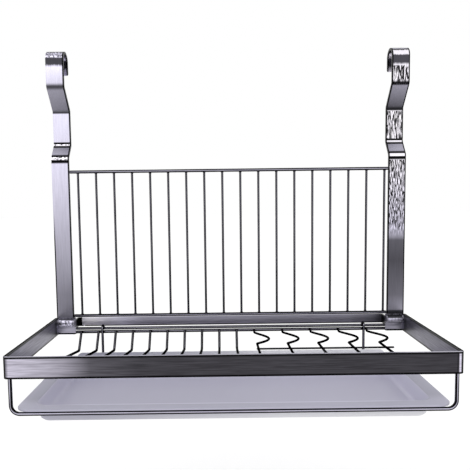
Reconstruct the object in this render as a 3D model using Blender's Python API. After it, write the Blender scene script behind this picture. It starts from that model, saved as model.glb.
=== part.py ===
# Folding dish drainer that hangs by two hooks from a kitchen rail.
# X runs along the rail, +Y points at the wall, +Z is up, and the front faces -Y.
# The origin lies on the rail's axis, half-way between the two straps.

import math

import bmesh
import bpy
from mathutils import Quaternion, Vector

MM = 0.001

# Clearances
GAP = 0.3 * MM
FOLD_CLEARANCE = 0.5 * MM
OVERRUN = 1.0 * MM
NOTCH_BITE = 0.1 * MM

# Flat steel bar that the straps and the shelf frame are bent from
OUTER_WIDTH = 450.0 * MM
STRAP_WIDTH = 22.0 * MM
SHELF_BAR_HEIGHT = 21.8 * MM
BAR_THICKNESS = 3.0 * MM
SHELF_REAR_BEND = 2.0 * MM
SHELF_FRONT_BEND = 3.8 * MM

# Strap, from the hook down to the foot
RAIL_DIAMETER = 16.0 * MM
RAIL_CLEARANCE = 0.5 * MM
HOOK_REAR_LEG = 15.7 * MM
HOOK_FRONT_LEG = 33.0 * MM
UPPER_SLANT_DROP = 26.5 * MM
WALL_REST_LENGTH = 43.5 * MM
LOWER_SLANT_DROP = 17.0 * MM
WALL_SHIFT = 13.5 * MM
STRAP_BEND = 5.0 * MM
HOOK_CORNER = 2.5 * MM
STRAP_END_MARGIN = 1.0 * MM

# Back grid
TOP_WIRE_DROP = 17.7 * MM
GRID_HEIGHT = 185.4 * MM
GRID_RAIL_RADIUS = 2.0 * MM
GRID_WIRE_RADIUS = 1.4 * MM
GRID_WIRES = 18
GRID_LEFT_ROOM = 10.8 * MM
GRID_RIGHT_ROOM = 4.7 * MM

# Crossbar that stands the straps' feet off the wall
CROSSBAR_DROP = 5.3 * MM
CROSSBAR_HEIGHT = 11.6 * MM
CROSSBAR_THICKNESS = 2.0 * MM
CROSSBAR_BEND = 2.0 * MM

# Hinge: bracket with two ears, pin, and the barrel rolled on the shelf's leaf
HINGE_DROP = 7.3 * MM
PIN_RADIUS = 2.0 * MM
BARREL_WALL = 2.4 * MM
BRACKET_SHEET = 1.5 * MM
BRACKET_WIDTH = 21.7 * MM
BRACKET_BEND = 1.0 * MM
BRACKET_END_MARGIN = 0.6 * MM
EAR_RADIUS = 5.0 * MM
EAR_TOP_MARGIN = 0.4 * MM
NOTCH_ROOM = 1.0 * MM
LEAF_INSET = 25.0 * MM

# Shelf and the rails that its wires lie on
SHELF_REACH = 186.0 * MM
FLOOR_RAIL_RADIUS = 2.0 * MM
FLOOR_RAIL_RISE = 2.6 * MM
UPPER_RAIL_RADIUS = 1.8 * MM
UPPER_RAIL_RISE = 4.5 * MM
WIRE_START_RISE = 1.5 * MM
WIRE_END_ROOM = 0.6 * MM

# Plate wires
PLATE_WIRES = 10
PLATE_WIRE_RADIUS = 1.6 * MM
PLATE_SIDE_ROOM = 11.0 * MM
PLATE_TROUGH_DROP = 19.7 * MM
PLATE_TROUGH_REACH = 18.9 * MM
PLATE_TROUGH_BEND = 3.0 * MM
PLATE_ZONE_SHARE = 0.544
ZONE_GAP_SHARE = 0.062

# Cup wires, each with one sideways wave
CUP_WIRES = 5
CUP_WIRE_RADIUS = 1.4 * MM
CUP_SIDE_ROOM = 28.1 * MM
CUP_DROP = 1.7 * MM
CUP_BEND = 2.0 * MM
CUP_WAVE_LENGTH = 54.8 * MM
CUP_WAVE_REACH = 16.0 * MM
CUP_WAVE_LEAN = 1.25
CUP_CORNER_BEND = 2.0 * MM
CROSS_WIRE_RADIUS = 1.1 * MM
CROSS_WIRE_SETBACK = 15.5 * MM
CROSS_WIRE_OVERHANG = 12.8 * MM

# Wires that carry the drip tray
TRAY_WIRE_RADIUS = 2.0 * MM
TRAY_WIRE_DROP = 36.7 * MM
TRAY_WIRE_BEND = 8.5 * MM
TRAY_WIRE_WELD = 17.0 * MM
HANGER_RADIUS = 1.6 * MM
HANGER_REACH = 10.0 * MM
HANGER_BEND = 4.0 * MM
HANGER_TAIL = 1.5 * MM
HANGER_PLATE_ROOM = 1.7 * MM
HANGER_CUP_ROOM = 0.8 * MM

# Drip tray
TRAY_WALL = 1.5 * MM
TRAY_DEPTH = 17.8 * MM
TRAY_FLANGE = 15.0 * MM
TRAY_SIDE_ROOM = 0.6 * MM
TRAY_BACK_ROOM = 2.4 * MM
TRAY_OVERHANG = 1.0 * MM
TRAY_CORNER = 14.0 * MM
TRAY_BASIN_CORNER = 12.0 * MM
TRAY_DRAFT = 2.0 * MM
TRAY_RIM_BEND = 2.0 * MM
TRAY_FLOOR_BEND = 6.0 * MM
TRAY_LIP_HEIGHT = 11.8 * MM
TRAY_LIP_CORNER = 7.0 * MM
TRAY_LIP_SETBACK = 0.1 * MM

# Numbers of flat facets that stand for each curve
TUBE_SIDES = 10
BEND_STEPS = 4
HOOK_STEPS = 16
ROUND_STEPS = 24
TRAY_CORNER_STEPS = 7
FILLET_STEPS = 3
WAVE_STEPS = 16
SMOOTH_ANGLE = 35

# Colour, metallic and roughness of each finish
BRUSHED_STEEL = ((0.40, 0.39, 0.43, 1.0), 1.0, 0.34)
WIRE_STEEL = ((0.38, 0.38, 0.40, 1.0), 1.0, 0.25)
PIN_STEEL = ((0.46, 0.46, 0.48, 1.0), 1.0, 0.22)
TRAY_PLASTIC = ((0.42, 0.42, 0.51, 1.0), 0.0, 0.40)

# Places across the width
strap_x = (OUTER_WIDTH - STRAP_WIDTH) / 2
strap_inner_x = OUTER_WIDTH / 2 - STRAP_WIDTH
side_bar_inner_x = OUTER_WIDTH / 2 - BAR_THICKNESS
leaf_inner_x = OUTER_WIDTH / 2 - LEAF_INSET
bracket_outer_x = side_bar_inner_x - GAP
bracket_x = bracket_outer_x - BRACKET_WIDTH / 2
knuckle_width = BRACKET_WIDTH - 2 * (BRACKET_SHEET + GAP)

# Places from the strap's middle plane, which is y = 0, to the front
half_bar = BAR_THICKNESS / 2
wall_y = WALL_SHIFT + half_bar
bracket_back_y = -half_bar - GAP
bracket_front_y = bracket_back_y - BRACKET_SHEET
leaf_back_y = bracket_front_y - GAP
leaf_front_y = leaf_back_y - BAR_THICKNESS
leaf_y = leaf_back_y - half_bar
barrel_radius = PIN_RADIUS + GAP + BARREL_WALL
hinge_y = leaf_back_y - barrel_radius
front_bar_y = half_bar - SHELF_REACH
front_bar_back_y = BAR_THICKNESS - SHELF_REACH
front_rail_y = front_bar_back_y + GAP + FLOOR_RAIL_RADIUS
wire_end_y = front_bar_back_y + WIRE_END_ROOM
tray_wire_y = front_bar_back_y + GAP + TRAY_WIRE_RADIUS
rear_rail_y = leaf_y
upper_rail_y = rear_rail_y - FLOOR_RAIL_RADIUS + UPPER_RAIL_RADIUS
hanger_y = rear_rail_y - FLOOR_RAIL_RADIUS - GAP - HANGER_RADIUS
hanger_bar_y = hanger_y - HANGER_REACH

# Heights, measured from the rail's axis
hook_radius = RAIL_DIAMETER / 2 + RAIL_CLEARANCE + half_bar
rest_top_z = -HOOK_FRONT_LEG - UPPER_SLANT_DROP
rest_foot_z = rest_top_z - WALL_REST_LENGTH
straight_top_z = rest_foot_z - LOWER_SLANT_DROP
top_wire_z = straight_top_z - TOP_WIRE_DROP
bottom_wire_z = top_wire_z - GRID_HEIGHT
crossbar_top_z = bottom_wire_z - CROSSBAR_DROP
hinge_z = bottom_wire_z - HINGE_DROP
heel_radius = -hinge_y - half_bar - FOLD_CLEARANCE
frame_top_z = hinge_z + heel_radius
frame_foot_z = frame_top_z - SHELF_BAR_HEIGHT
bracket_top_z = hinge_z + EAR_RADIUS + EAR_TOP_MARGIN
bracket_foot_z = frame_foot_z - BRACKET_END_MARGIN
strap_foot_z = bracket_foot_z - STRAP_END_MARGIN
notch_z = hinge_z - EAR_RADIUS - NOTCH_ROOM
floor_rail_z = frame_foot_z + FLOOR_RAIL_RISE
upper_rail_z = floor_rail_z + UPPER_RAIL_RISE
wire_start_z = floor_rail_z + WIRE_START_RISE
plate_end_z = floor_rail_z + FLOOR_RAIL_RADIUS + GAP + PLATE_WIRE_RADIUS
cup_end_z = floor_rail_z + FLOOR_RAIL_RADIUS + GAP + CUP_WIRE_RADIUS
cup_floor_z = floor_rail_z - CUP_DROP
tray_wire_z = frame_foot_z - TRAY_WIRE_DROP
tray_seat_z = tray_wire_z + TRAY_WIRE_RADIUS + GAP
hanger_bar_z = tray_seat_z - GAP - HANGER_RADIUS

# Wires across the shelf: plate wires first, then a gap, then cup wires
grid_pitch = (2 * strap_inner_x - GRID_LEFT_ROOM - GRID_RIGHT_ROOM) / (GRID_WIRES - 1)
first_plate_x = -strap_inner_x + PLATE_SIDE_ROOM
last_cup_x = strap_inner_x - CUP_SIDE_ROOM
floor_span = last_cup_x - first_plate_x
plate_pitch = floor_span * PLATE_ZONE_SHARE / (PLATE_WIRES - 1)
first_cup_x = first_plate_x + floor_span * (PLATE_ZONE_SHARE + ZONE_GAP_SHARE)
cup_pitch = (last_cup_x - first_cup_x) / (CUP_WIRES - 1)
second_plate_x = first_plate_x + plate_pitch
hanger_left_x = second_plate_x + PLATE_WIRE_RADIUS + HANGER_PLATE_ROOM + HANGER_RADIUS
hanger_right_x = last_cup_x - CUP_WIRE_RADIUS - HANGER_CUP_ROOM - HANGER_RADIUS

# Drip tray, which tilts about the rear edge of its flange's underside
tray_wire_x = side_bar_inner_x - GAP - TRAY_WIRE_RADIUS
tray_half_width = tray_wire_x - TRAY_WIRE_RADIUS - TRAY_SIDE_ROOM
tray_back_y = hanger_y - HANGER_RADIUS - TRAY_BACK_ROOM
tray_length = tray_back_y - tray_wire_y + TRAY_OVERHANG


def finish(obj, look):
    """Gives the object a material of its own from (colour, metallic, roughness)."""
    colour, metallic, roughness = look
    material = bpy.data.materials.new(obj.name)
    material.use_nodes = True
    material.diffuse_color = colour
    shader = material.node_tree.nodes["Principled BSDF"]
    shader.inputs["Base Color"].default_value = colour
    shader.inputs["Metallic"].default_value = metallic
    shader.inputs["Roughness"].default_value = roughness
    if not obj.data.materials:
        obj.data.materials.append(None)
    obj.material_slots[0].link = "OBJECT"
    obj.material_slots[0].material = material


def add_object(name, data, location=(0, 0, 0), parent=None):
    """Links an object at a place given in its parent's frame."""
    obj = bpy.data.objects.new(name, data)
    bpy.context.scene.collection.objects.link(obj)
    obj.location = location
    obj.parent = parent
    return obj


def add_part(name, data, look, location=(0, 0, 0), parent=None):
    obj = add_object(name, data, location, parent)
    finish(obj, look)
    return obj


def on_shelf(x, y, z):
    """A point in the frame of the shelf, whose origin lies on the hinge's axis."""
    return Vector((x, y - hinge_y, z - hinge_z))


def arc(centre, radius, start, end, steps):
    """Points along an arc in a plane, from the start angle to the end angle in degrees."""
    points = []
    for step in range(steps + 1):
        angle = math.radians(start + (end - start) * step / steps)
        points.append((centre[0] + radius * math.cos(angle), centre[1] + radius * math.sin(angle)))
    return points


def rounded_path(corners, radius, steps):
    """The path through these corners, with an arc of this radius at each inner one."""
    points = [corners[0]]
    for before, corner, after in zip(corners, corners[1:], corners[2:]):
        back = (before - corner).normalized()
        ahead = (after - corner).normalized()
        half_angle = back.angle(ahead) / 2
        centre = corner + (back + ahead).normalized() * (radius / math.sin(half_angle))
        first = corner + back * (radius / math.tan(half_angle)) - centre
        last = corner + ahead * (radius / math.tan(half_angle)) - centre
        axis = first.cross(last)
        sweep = math.pi - 2 * half_angle
        for step in range(steps + 1):
            points.append(centre + Quaternion(axis, sweep * step / steps) @ first)
    return points + [corners[-1]]


def wire(name, points, radius):
    """A round wire swept along these points, with closed ends."""
    curve = bpy.data.curves.new(name, "CURVE")
    curve.dimensions = "3D"
    curve.bevel_depth = radius
    curve.bevel_resolution = (TUBE_SIDES - 4) // 2
    curve.use_fill_caps = True
    spline = curve.splines.new("POLY")
    spline.points.add(len(points) - 1)
    for slot, point in zip(spline.points, points):
        slot.co = (*point, 1)
    return curve


def level_wire(name, low_x, high_x, radius):
    """A straight wire along X."""
    return wire(name, [Vector((low_x, 0, 0)), Vector((high_x, 0, 0))], radius)


def to_mesh(name, bm):
    bmesh.ops.recalc_face_normals(bm, faces=bm.faces)
    mesh = bpy.data.meshes.new(name)
    bm.to_mesh(mesh)
    bm.free()
    return mesh


def shade(mesh):
    """Shades the round faces smooth and leaves the real corners sharp."""
    mesh.shade_smooth()
    mesh.set_sharp_from_angle(angle=math.radians(SMOOTH_ANGLE))


def swept_bar(name, path, across, round_start=False):
    """The middle surface of a bent flat bar: the path, moved across by the bar's width."""
    bm = bmesh.new()
    verts = [bm.verts.new(point) for point in path]
    edges = [bm.edges.new(pair) for pair in zip(verts, verts[1:])]
    swept = bmesh.ops.extrude_edge_only(bm, edges=edges)["geom"]
    moved = [item for item in swept if isinstance(item, bmesh.types.BMVert)]
    bmesh.ops.translate(bm, verts=moved, vec=across)
    if round_start:
        ends = (path[0], path[0] + across)
        corners = [v for v in bm.verts if min((v.co - end).length for end in ends) < GAP]
        bmesh.ops.bevel(
            bm,
            geom=corners,
            offset=HOOK_CORNER,
            segments=BEND_STEPS,
            profile=0.5,
            affect="VERTICES",
        )
    mesh = to_mesh(name, bm)
    shade(mesh)
    return mesh


def thicken(obj, thickness):
    """Makes a bar's middle surface solid, half to each side."""
    solid = obj.modifiers.new("Thickness", "SOLIDIFY")
    solid.thickness = thickness
    solid.offset = 0
    solid.use_even_offset = True
    solid.use_quality_normals = True


def slab(name, outline, move):
    """A solid made by moving a flat outline straight through space."""
    bm = bmesh.new()
    face = bm.faces.new([bm.verts.new(point) for point in outline])
    swept = bmesh.ops.extrude_face_region(bm, geom=[face])["geom"]
    moved = [item for item in swept if isinstance(item, bmesh.types.BMVert)]
    bmesh.ops.translate(bm, verts=moved, vec=move)
    return to_mesh(name, bm)


def side_slab(name, outline, low_x, high_x):
    """A solid with this (y, z) outline that runs along X."""
    points = [Vector((low_x, y, z)) for y, z in outline]
    return slab(name, points, Vector((high_x - low_x, 0, 0)))


def combine(obj, name, mesh, operation):
    """Cuts a hidden shape away from the object, or joins it on."""
    helper = add_object(name, mesh, obj.location, obj.parent)
    helper.hide_render = True
    helper.display_type = "WIRE"
    modifier = obj.modifiers.new(name, "BOOLEAN")
    modifier.operation = operation
    modifier.object = helper


def build_straps():
    """Hook over the rail, step back to the wall, step forward, then the long leg."""
    rear = Vector((0, hook_radius, -HOOK_REAR_LEG))
    over = [Vector((0, *point)) for point in arc((0, 0), hook_radius, 0, 180, HOOK_STEPS)]
    bends = [
        over[-1],
        Vector((0, -hook_radius, -HOOK_FRONT_LEG)),
        Vector((0, WALL_SHIFT, rest_top_z)),
        Vector((0, WALL_SHIFT, rest_foot_z)),
        Vector((0, 0, straight_top_z)),
        Vector((0, 0, strap_foot_z)),
    ]
    path = [rear] + over[:-1] + rounded_path(bends, STRAP_BEND, BEND_STEPS)
    shift = Vector((STRAP_WIDTH / 2, 0, 0))
    mesh = swept_bar("strap", [point - shift for point in path], shift * 2, round_start=True)
    for side, sign in (("left", -1), ("right", 1)):
        obj = add_part(f"{side}_strap", mesh, BRUSHED_STEEL, (sign * strap_x, 0, 0))
        thicken(obj, BAR_THICKNESS)


def build_back_grid():
    """Two level wires from strap to strap, with upright wires butted between them."""
    end_x = strap_inner_x - GAP
    level = level_wire("grid_rail", -end_x, end_x, GRID_RAIL_RADIUS)
    add_part("back_top_wire", level, WIRE_STEEL, (0, 0, top_wire_z))
    add_part("back_bottom_wire", level, WIRE_STEEL, (0, 0, bottom_wire_z))
    seat = GRID_RAIL_RADIUS + GAP
    ends = [Vector((0, 0, -seat)), Vector((0, 0, seat - GRID_HEIGHT))]
    upright = wire("grid_wire", ends, GRID_WIRE_RADIUS)
    for index in range(GRID_WIRES):
        x = -strap_inner_x + GRID_LEFT_ROOM + grid_pitch * index
        add_part(f"back_wire_{index + 1:02d}", upright, WIRE_STEEL, (x, 0, top_wire_z))


def build_crossbar():
    """Flat bar in the wall plane whose bent ends reach forward beside the straps."""
    end_x = strap_inner_x - GAP - CROSSBAR_THICKNESS / 2
    back_y = wall_y - CROSSBAR_THICKNESS / 2
    corners = [
        Vector((-end_x, -half_bar, 0)),
        Vector((-end_x, back_y, 0)),
        Vector((end_x, back_y, 0)),
        Vector((end_x, -half_bar, 0)),
    ]
    path = rounded_path(corners, CROSSBAR_BEND, BEND_STEPS)
    mesh = swept_bar("crossbar", path, Vector((0, 0, -CROSSBAR_HEIGHT)))
    obj = add_part("crossbar", mesh, BRUSHED_STEEL, (0, 0, crossbar_top_z))
    thicken(obj, CROSSBAR_THICKNESS)


def build_hinges():
    """At each strap's foot, a channel whose flanges are cut to two ears, and its pin."""
    half = (BRACKET_WIDTH - BRACKET_SHEET) / 2
    back_y = bracket_back_y - BRACKET_SHEET / 2
    front_y = hinge_y - EAR_RADIUS - OVERRUN
    corners = [
        Vector((-half, front_y, bracket_foot_z)),
        Vector((-half, back_y, bracket_foot_z)),
        Vector((half, back_y, bracket_foot_z)),
        Vector((half, front_y, bracket_foot_z)),
    ]
    path = rounded_path(corners, BRACKET_BEND, BEND_STEPS)
    channel = swept_bar("hinge_bracket", path, Vector((0, 0, bracket_top_z - bracket_foot_z)))
    # Everything in front of the back plate is cut away but the two ears.
    far_y = front_y - OVERRUN
    above_z = bracket_top_z + OVERRUN
    below_z = bracket_foot_z - OVERRUN
    waste = [(bracket_front_y, above_z)]
    waste += [(bracket_front_y, hinge_z + EAR_RADIUS)]
    waste += arc((hinge_y, hinge_z), EAR_RADIUS, 90, 270, ROUND_STEPS // 2)
    waste += [(bracket_front_y, hinge_z - EAR_RADIUS)]
    waste += [(bracket_front_y, below_z), (far_y, below_z), (far_y, above_z)]
    bore = arc((hinge_y, hinge_z), PIN_RADIUS + GAP, 0, 360, ROUND_STEPS)[:-1]
    reach = BRACKET_WIDTH / 2 + OVERRUN
    waste_mesh = side_slab("ear_waste", waste, -reach, reach)
    bore_mesh = side_slab("ear_bore", bore, -reach, reach)
    pin = level_wire("hinge_pin", -BRACKET_WIDTH / 2, BRACKET_WIDTH / 2, PIN_RADIUS)
    for side, sign in (("left", -1), ("right", 1)):
        x = sign * bracket_x
        obj = add_part(f"{side}_hinge_bracket", channel, BRUSHED_STEEL, (x, 0, 0))
        thicken(obj, BRACKET_SHEET)
        combine(obj, f"{side}_ear_waste", waste_mesh, "DIFFERENCE")
        combine(obj, f"{side}_ear_bore", bore_mesh, "DIFFERENCE")
        add_part(f"{side}_hinge_pin", pin, PIN_STEEL, (x, hinge_y, hinge_z))


def build_shelf_frame(hinge):
    """U-shaped frame of flat bar; its ends turn in as leaves that roll round the pins."""
    side_x = OUTER_WIDTH / 2 - half_bar
    left_leaf = on_shelf(-leaf_inner_x, leaf_y, frame_foot_z)
    rear_left = on_shelf(-side_x, leaf_y, frame_foot_z)
    front_left = on_shelf(-side_x, front_bar_y, frame_foot_z)
    front_right = on_shelf(side_x, front_bar_y, frame_foot_z)
    rear_right = on_shelf(side_x, leaf_y, frame_foot_z)
    right_leaf = on_shelf(leaf_inner_x, leaf_y, frame_foot_z)
    path = rounded_path([left_leaf, rear_left, front_left], SHELF_REAR_BEND, BEND_STEPS)[:-1]
    front = [rear_left, front_left, front_right, rear_right]
    path += rounded_path(front, SHELF_FRONT_BEND, BEND_STEPS)[1:-1]
    path += rounded_path([front_right, rear_right, right_leaf], SHELF_REAR_BEND, BEND_STEPS)[1:]
    mesh = swept_bar("shelf_frame", path, Vector((0, 0, SHELF_BAR_HEIGHT)))
    obj = add_part("shelf_frame", mesh, BRUSHED_STEEL, parent=hinge)
    thicken(obj, BAR_THICKNESS)
    front_y = leaf_front_y - hinge_y
    back_y = leaf_back_y - hinge_y
    low_z = notch_z - hinge_z
    high_z = heel_radius + OVERRUN
    # The leaves are cut away above this notch, up to the side bars.
    inner_x = side_bar_inner_x + NOTCH_BITE
    near_y = front_y - BAR_THICKNESS
    behind_y = back_y + OVERRUN
    notch = [(near_y, low_z), (behind_y, low_z), (behind_y, high_z), (near_y, high_z)]
    combine(obj, "leaf_notch", side_slab("leaf_notch", notch, -inner_x, inner_x), "DIFFERENCE")
    # The side bars' heels are rounded about the pins and so clear the straps.
    outer_x = OUTER_WIDTH / 2 + OVERRUN
    heel = arc((0, 0), heel_radius, 90, 0, ROUND_STEPS // 2)
    heel += [(heel_radius + OVERRUN, 0), (heel_radius + OVERRUN, high_z), (0, high_z)]
    combine(obj, "heel_waste", side_slab("heel_waste", heel, -outer_x, outer_x), "DIFFERENCE")
    # Each leaf keeps a tongue that is rolled into a barrel.
    meet = math.degrees(math.acos(front_y / barrel_radius))
    knuckle = [(back_y, low_z - BARREL_WALL)]
    knuckle += arc((0, 0), barrel_radius, 0, 360 - meet, ROUND_STEPS)
    knuckle += [(front_y, low_z - BARREL_WALL)]
    for side, sign in (("left", -1), ("right", 1)):
        low_x = sign * bracket_x - knuckle_width / 2
        mesh = side_slab("knuckle", knuckle, low_x, low_x + knuckle_width)
        combine(obj, f"{side}_knuckle", mesh, "UNION")
    bore = arc((0, 0), PIN_RADIUS + GAP, 0, 360, ROUND_STEPS)[:-1]
    reach = bracket_outer_x
    combine(obj, "barrel_bore", side_slab("barrel_bore", bore, -reach, reach), "DIFFERENCE")


def build_floor_rails(hinge):
    """Two wires between the leaves at the rear and one behind the front bar."""
    end_x = leaf_inner_x - GAP
    upper = level_wire("rear_upper_rail", -end_x, end_x, UPPER_RAIL_RADIUS)
    at = on_shelf(0, upper_rail_y, upper_rail_z)
    add_part("rear_upper_rail", upper, WIRE_STEEL, at, hinge)
    lower = level_wire("rear_lower_rail", -end_x, end_x, FLOOR_RAIL_RADIUS)
    at = on_shelf(0, rear_rail_y, floor_rail_z)
    add_part("rear_lower_rail", lower, WIRE_STEEL, at, hinge)
    end_x = tray_wire_x - TRAY_WIRE_RADIUS - GAP
    front = level_wire("front_rail", -end_x, end_x, FLOOR_RAIL_RADIUS)
    at = on_shelf(0, front_rail_y, floor_rail_z)
    add_part("front_rail", front, WIRE_STEEL, at, hinge)


def wire_start_y(radius):
    """Where a wire of this radius starts, just in front of the rear lower rail."""
    return rear_rail_y - FLOOR_RAIL_RADIUS - GAP / 2 - radius


def build_plate_wires(hinge):
    """Wires that drop into a trough at the rear and rise in a straight line to the front."""
    trough_y = rear_rail_y - PLATE_TROUGH_REACH
    trough_z = floor_rail_z - PLATE_TROUGH_DROP
    corners = [
        on_shelf(0, wire_start_y(PLATE_WIRE_RADIUS), wire_start_z),
        on_shelf(0, trough_y, trough_z),
        on_shelf(0, wire_end_y, plate_end_z),
    ]
    path = rounded_path(corners, PLATE_TROUGH_BEND, BEND_STEPS)
    curve = wire("plate_wire", path, PLATE_WIRE_RADIUS)
    for index in range(PLATE_WIRES):
        at = (first_plate_x + plate_pitch * index, 0, 0)
        add_part(f"plate_wire_{index + 1:02d}", curve, WIRE_STEEL, at, hinge)


def build_cup_wires(hinge):
    """Wires with one sideways wave at the rear, and the cross wire that ties them."""
    start_y = wire_start_y(CUP_WIRE_RADIUS)
    wave_y = start_y - 2 * CUP_BEND
    drop = [
        on_shelf(0, start_y, wire_start_z),
        on_shelf(0, start_y, cup_floor_z),
        on_shelf(0, wave_y, cup_floor_z),
    ]
    wave = []
    for step in range(1, WAVE_STEPS):
        share = step / WAVE_STEPS
        x = CUP_WAVE_REACH * math.sin(math.pi * share**CUP_WAVE_LEAN)
        wave.append(on_shelf(x, wave_y - CUP_WAVE_LENGTH * share, cup_floor_z))
    foot = on_shelf(0, wave_y - CUP_WAVE_LENGTH, cup_floor_z)
    end = on_shelf(0, wire_end_y, cup_end_z)
    path = rounded_path(drop, CUP_BEND, BEND_STEPS) + wave[:-1]
    path += rounded_path([wave[-1], foot, end], CUP_CORNER_BEND, BEND_STEPS)
    curve = wire("cup_wire", path, CUP_WIRE_RADIUS)
    for index in range(CUP_WIRES):
        at = (first_cup_x + cup_pitch * index, 0, 0)
        add_part(f"cup_wire_{index + 1}", curve, WIRE_STEEL, at, hinge)
    # The cross wire lies under the straight runs, just in front of the waves.
    rise_share = CROSS_WIRE_SETBACK / (foot.y - end.y)
    cross = foot.lerp(end, rise_share)
    cross.z -= CUP_WIRE_RADIUS + GAP + CROSS_WIRE_RADIUS
    low_x = first_cup_x - CUP_WIRE_RADIUS
    high_x = last_cup_x + CROSS_WIRE_OVERHANG
    curve = level_wire("cup_cross_wire", low_x, high_x, CROSS_WIRE_RADIUS)
    add_part("cup_cross_wire", curve, WIRE_STEEL, cross, hinge)


def build_tray_wires(hinge):
    """Front loop and rear hanger that the tray's flange lies on."""
    weld_z = frame_foot_z + TRAY_WIRE_WELD
    corners = [
        on_shelf(-tray_wire_x, tray_wire_y, weld_z),
        on_shelf(-tray_wire_x, tray_wire_y, tray_wire_z),
        on_shelf(tray_wire_x, tray_wire_y, tray_wire_z),
        on_shelf(tray_wire_x, tray_wire_y, weld_z),
    ]
    path = rounded_path(corners, TRAY_WIRE_BEND, 2 * BEND_STEPS)
    loop = wire("tray_front_wire", path, TRAY_WIRE_RADIUS)
    add_part("tray_front_wire", loop, WIRE_STEEL, parent=hinge)
    # Each end of the hanger hooks over the upper rail and passes in front of the lower one.
    over = arc((upper_rail_y, upper_rail_z), upper_rail_y - hanger_y, 0, 180, 2 * BEND_STEPS)
    tail = (2 * upper_rail_y - hanger_y, upper_rail_z - HANGER_TAIL)
    left = [on_shelf(hanger_left_x, y, z) for y, z in [tail] + over]
    right = [on_shelf(hanger_right_x, y, z) for y, z in [tail] + over]
    corners = [
        left[-1],
        on_shelf(hanger_left_x, hanger_y, hanger_bar_z),
        on_shelf(hanger_left_x, hanger_bar_y, hanger_bar_z),
        on_shelf(hanger_right_x, hanger_bar_y, hanger_bar_z),
        on_shelf(hanger_right_x, hanger_y, hanger_bar_z),
        right[-1],
    ]
    path = left[:-1] + rounded_path(corners, HANGER_BEND, BEND_STEPS) + right[-2::-1]
    hanger = wire("tray_hanger", path, HANGER_RADIUS)
    add_part("tray_hanger", hanger, WIRE_STEEL, parent=hinge)


def tray_section():
    """(inset from the flange's edge, height over its underside), from basin floor to base."""
    inner = TRAY_FLANGE + TRAY_WALL
    floor_z = TRAY_WALL - TRAY_DEPTH
    bend = TRAY_FLOOR_BEND - TRAY_WALL
    basin = arc((inner + TRAY_DRAFT + bend, floor_z + bend), bend, 270, 180, FILLET_STEPS)
    rim_centre = (inner - TRAY_RIM_BEND, TRAY_WALL - TRAY_RIM_BEND)
    basin += arc(rim_centre, TRAY_RIM_BEND, 0, 90, FILLET_STEPS)
    edge = [(0, TRAY_WALL), (0, 0)]
    neck = TRAY_RIM_BEND - TRAY_WALL
    under = arc((TRAY_FLANGE - neck, -neck), neck, 90, 0, FILLET_STEPS)
    foot_centre = (TRAY_FLANGE + TRAY_DRAFT + TRAY_FLOOR_BEND, TRAY_FLOOR_BEND - TRAY_DEPTH)
    under += arc(foot_centre, TRAY_FLOOR_BEND, 180, 270, FILLET_STEPS)
    return basin + edge + under


def tray_ring(bm, inset, z):
    """A ring of vertices round the tray's rounded rectangle, at one height."""
    share = min(inset / TRAY_FLANGE, 1)
    corner = TRAY_CORNER + (TRAY_BASIN_CORNER - TRAY_CORNER) * share
    corner -= max(inset - TRAY_FLANGE, 0) / 2
    half_x = tray_half_width - inset
    centres = (
        (half_x - corner, -inset - corner, 0),
        (corner - half_x, -inset - corner, 90),
        (corner - half_x, corner + inset - tray_length, 180),
        (half_x - corner, corner + inset - tray_length, 270),
    )
    ring = []
    for x, y, start in centres:
        for point in arc((x, y), corner, start, start + 90, TRAY_CORNER_STEPS):
            ring.append(bm.verts.new((*point, z)))
    return ring


def build_tray(hinge):
    """Moulded tray: a flat flange round a shallow basin, with a raised lip at the rear."""
    bm = bmesh.new()
    rings = [tray_ring(bm, inset, z) for inset, z in tray_section()]
    for first, second in zip(rings, rings[1:]):
        for index, vert in enumerate(first):
            bm.faces.new((vert, first[index - 1], second[index - 1], second[index]))
    bm.faces.new(rings[0])
    bm.faces.new(rings[-1])
    mesh = to_mesh("drip_tray", bm)
    shade(mesh)
    at = on_shelf(0, tray_back_y, tray_seat_z)
    obj = add_part("drip_tray", mesh, TRAY_PLASTIC, at, hinge)
    half = tray_half_width - TRAY_CORNER - TRAY_LIP_HEIGHT / 2
    top = TRAY_LIP_HEIGHT - TRAY_LIP_CORNER
    outline = [(-half, TRAY_WALL / 2), (half, TRAY_WALL / 2)]
    outline += arc((half - TRAY_LIP_CORNER, top), TRAY_LIP_CORNER, 0, 90, TRAY_CORNER_STEPS)
    outline += arc((TRAY_LIP_CORNER - half, top), TRAY_LIP_CORNER, 90, 180, TRAY_CORNER_STEPS)
    points = [Vector((x, -TRAY_LIP_SETBACK, z)) for x, z in outline]
    combine(obj, "tray_lip", slab("tray_lip", points, Vector((0, -TRAY_WALL, 0))), "UNION")


for leftover in list(bpy.data.objects):
    bpy.data.objects.remove(leftover, do_unlink=True)

build_straps()
build_back_grid()
build_crossbar()
build_hinges()
shelf_hinge = add_object("shelf_hinge", None, (0, hinge_y, hinge_z))
build_shelf_frame(shelf_hinge)
build_floor_rails(shelf_hinge)
build_plate_wires(shelf_hinge)
build_cup_wires(shelf_hinge)
build_tray_wires(shelf_hinge)
build_tray(shelf_hinge)
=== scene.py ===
# The looks of a folding dish drainer of bent steel bar and wire that hangs from a kitchen rail.
# X runs along the rail, +Y points at the wall, and +Z is up; lengths are in metres.
# Each section below is one piece, or one group of like pieces, in the order of assembly.

import math

import bmesh
import bpy
from mathutils import Matrix, Vector


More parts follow.
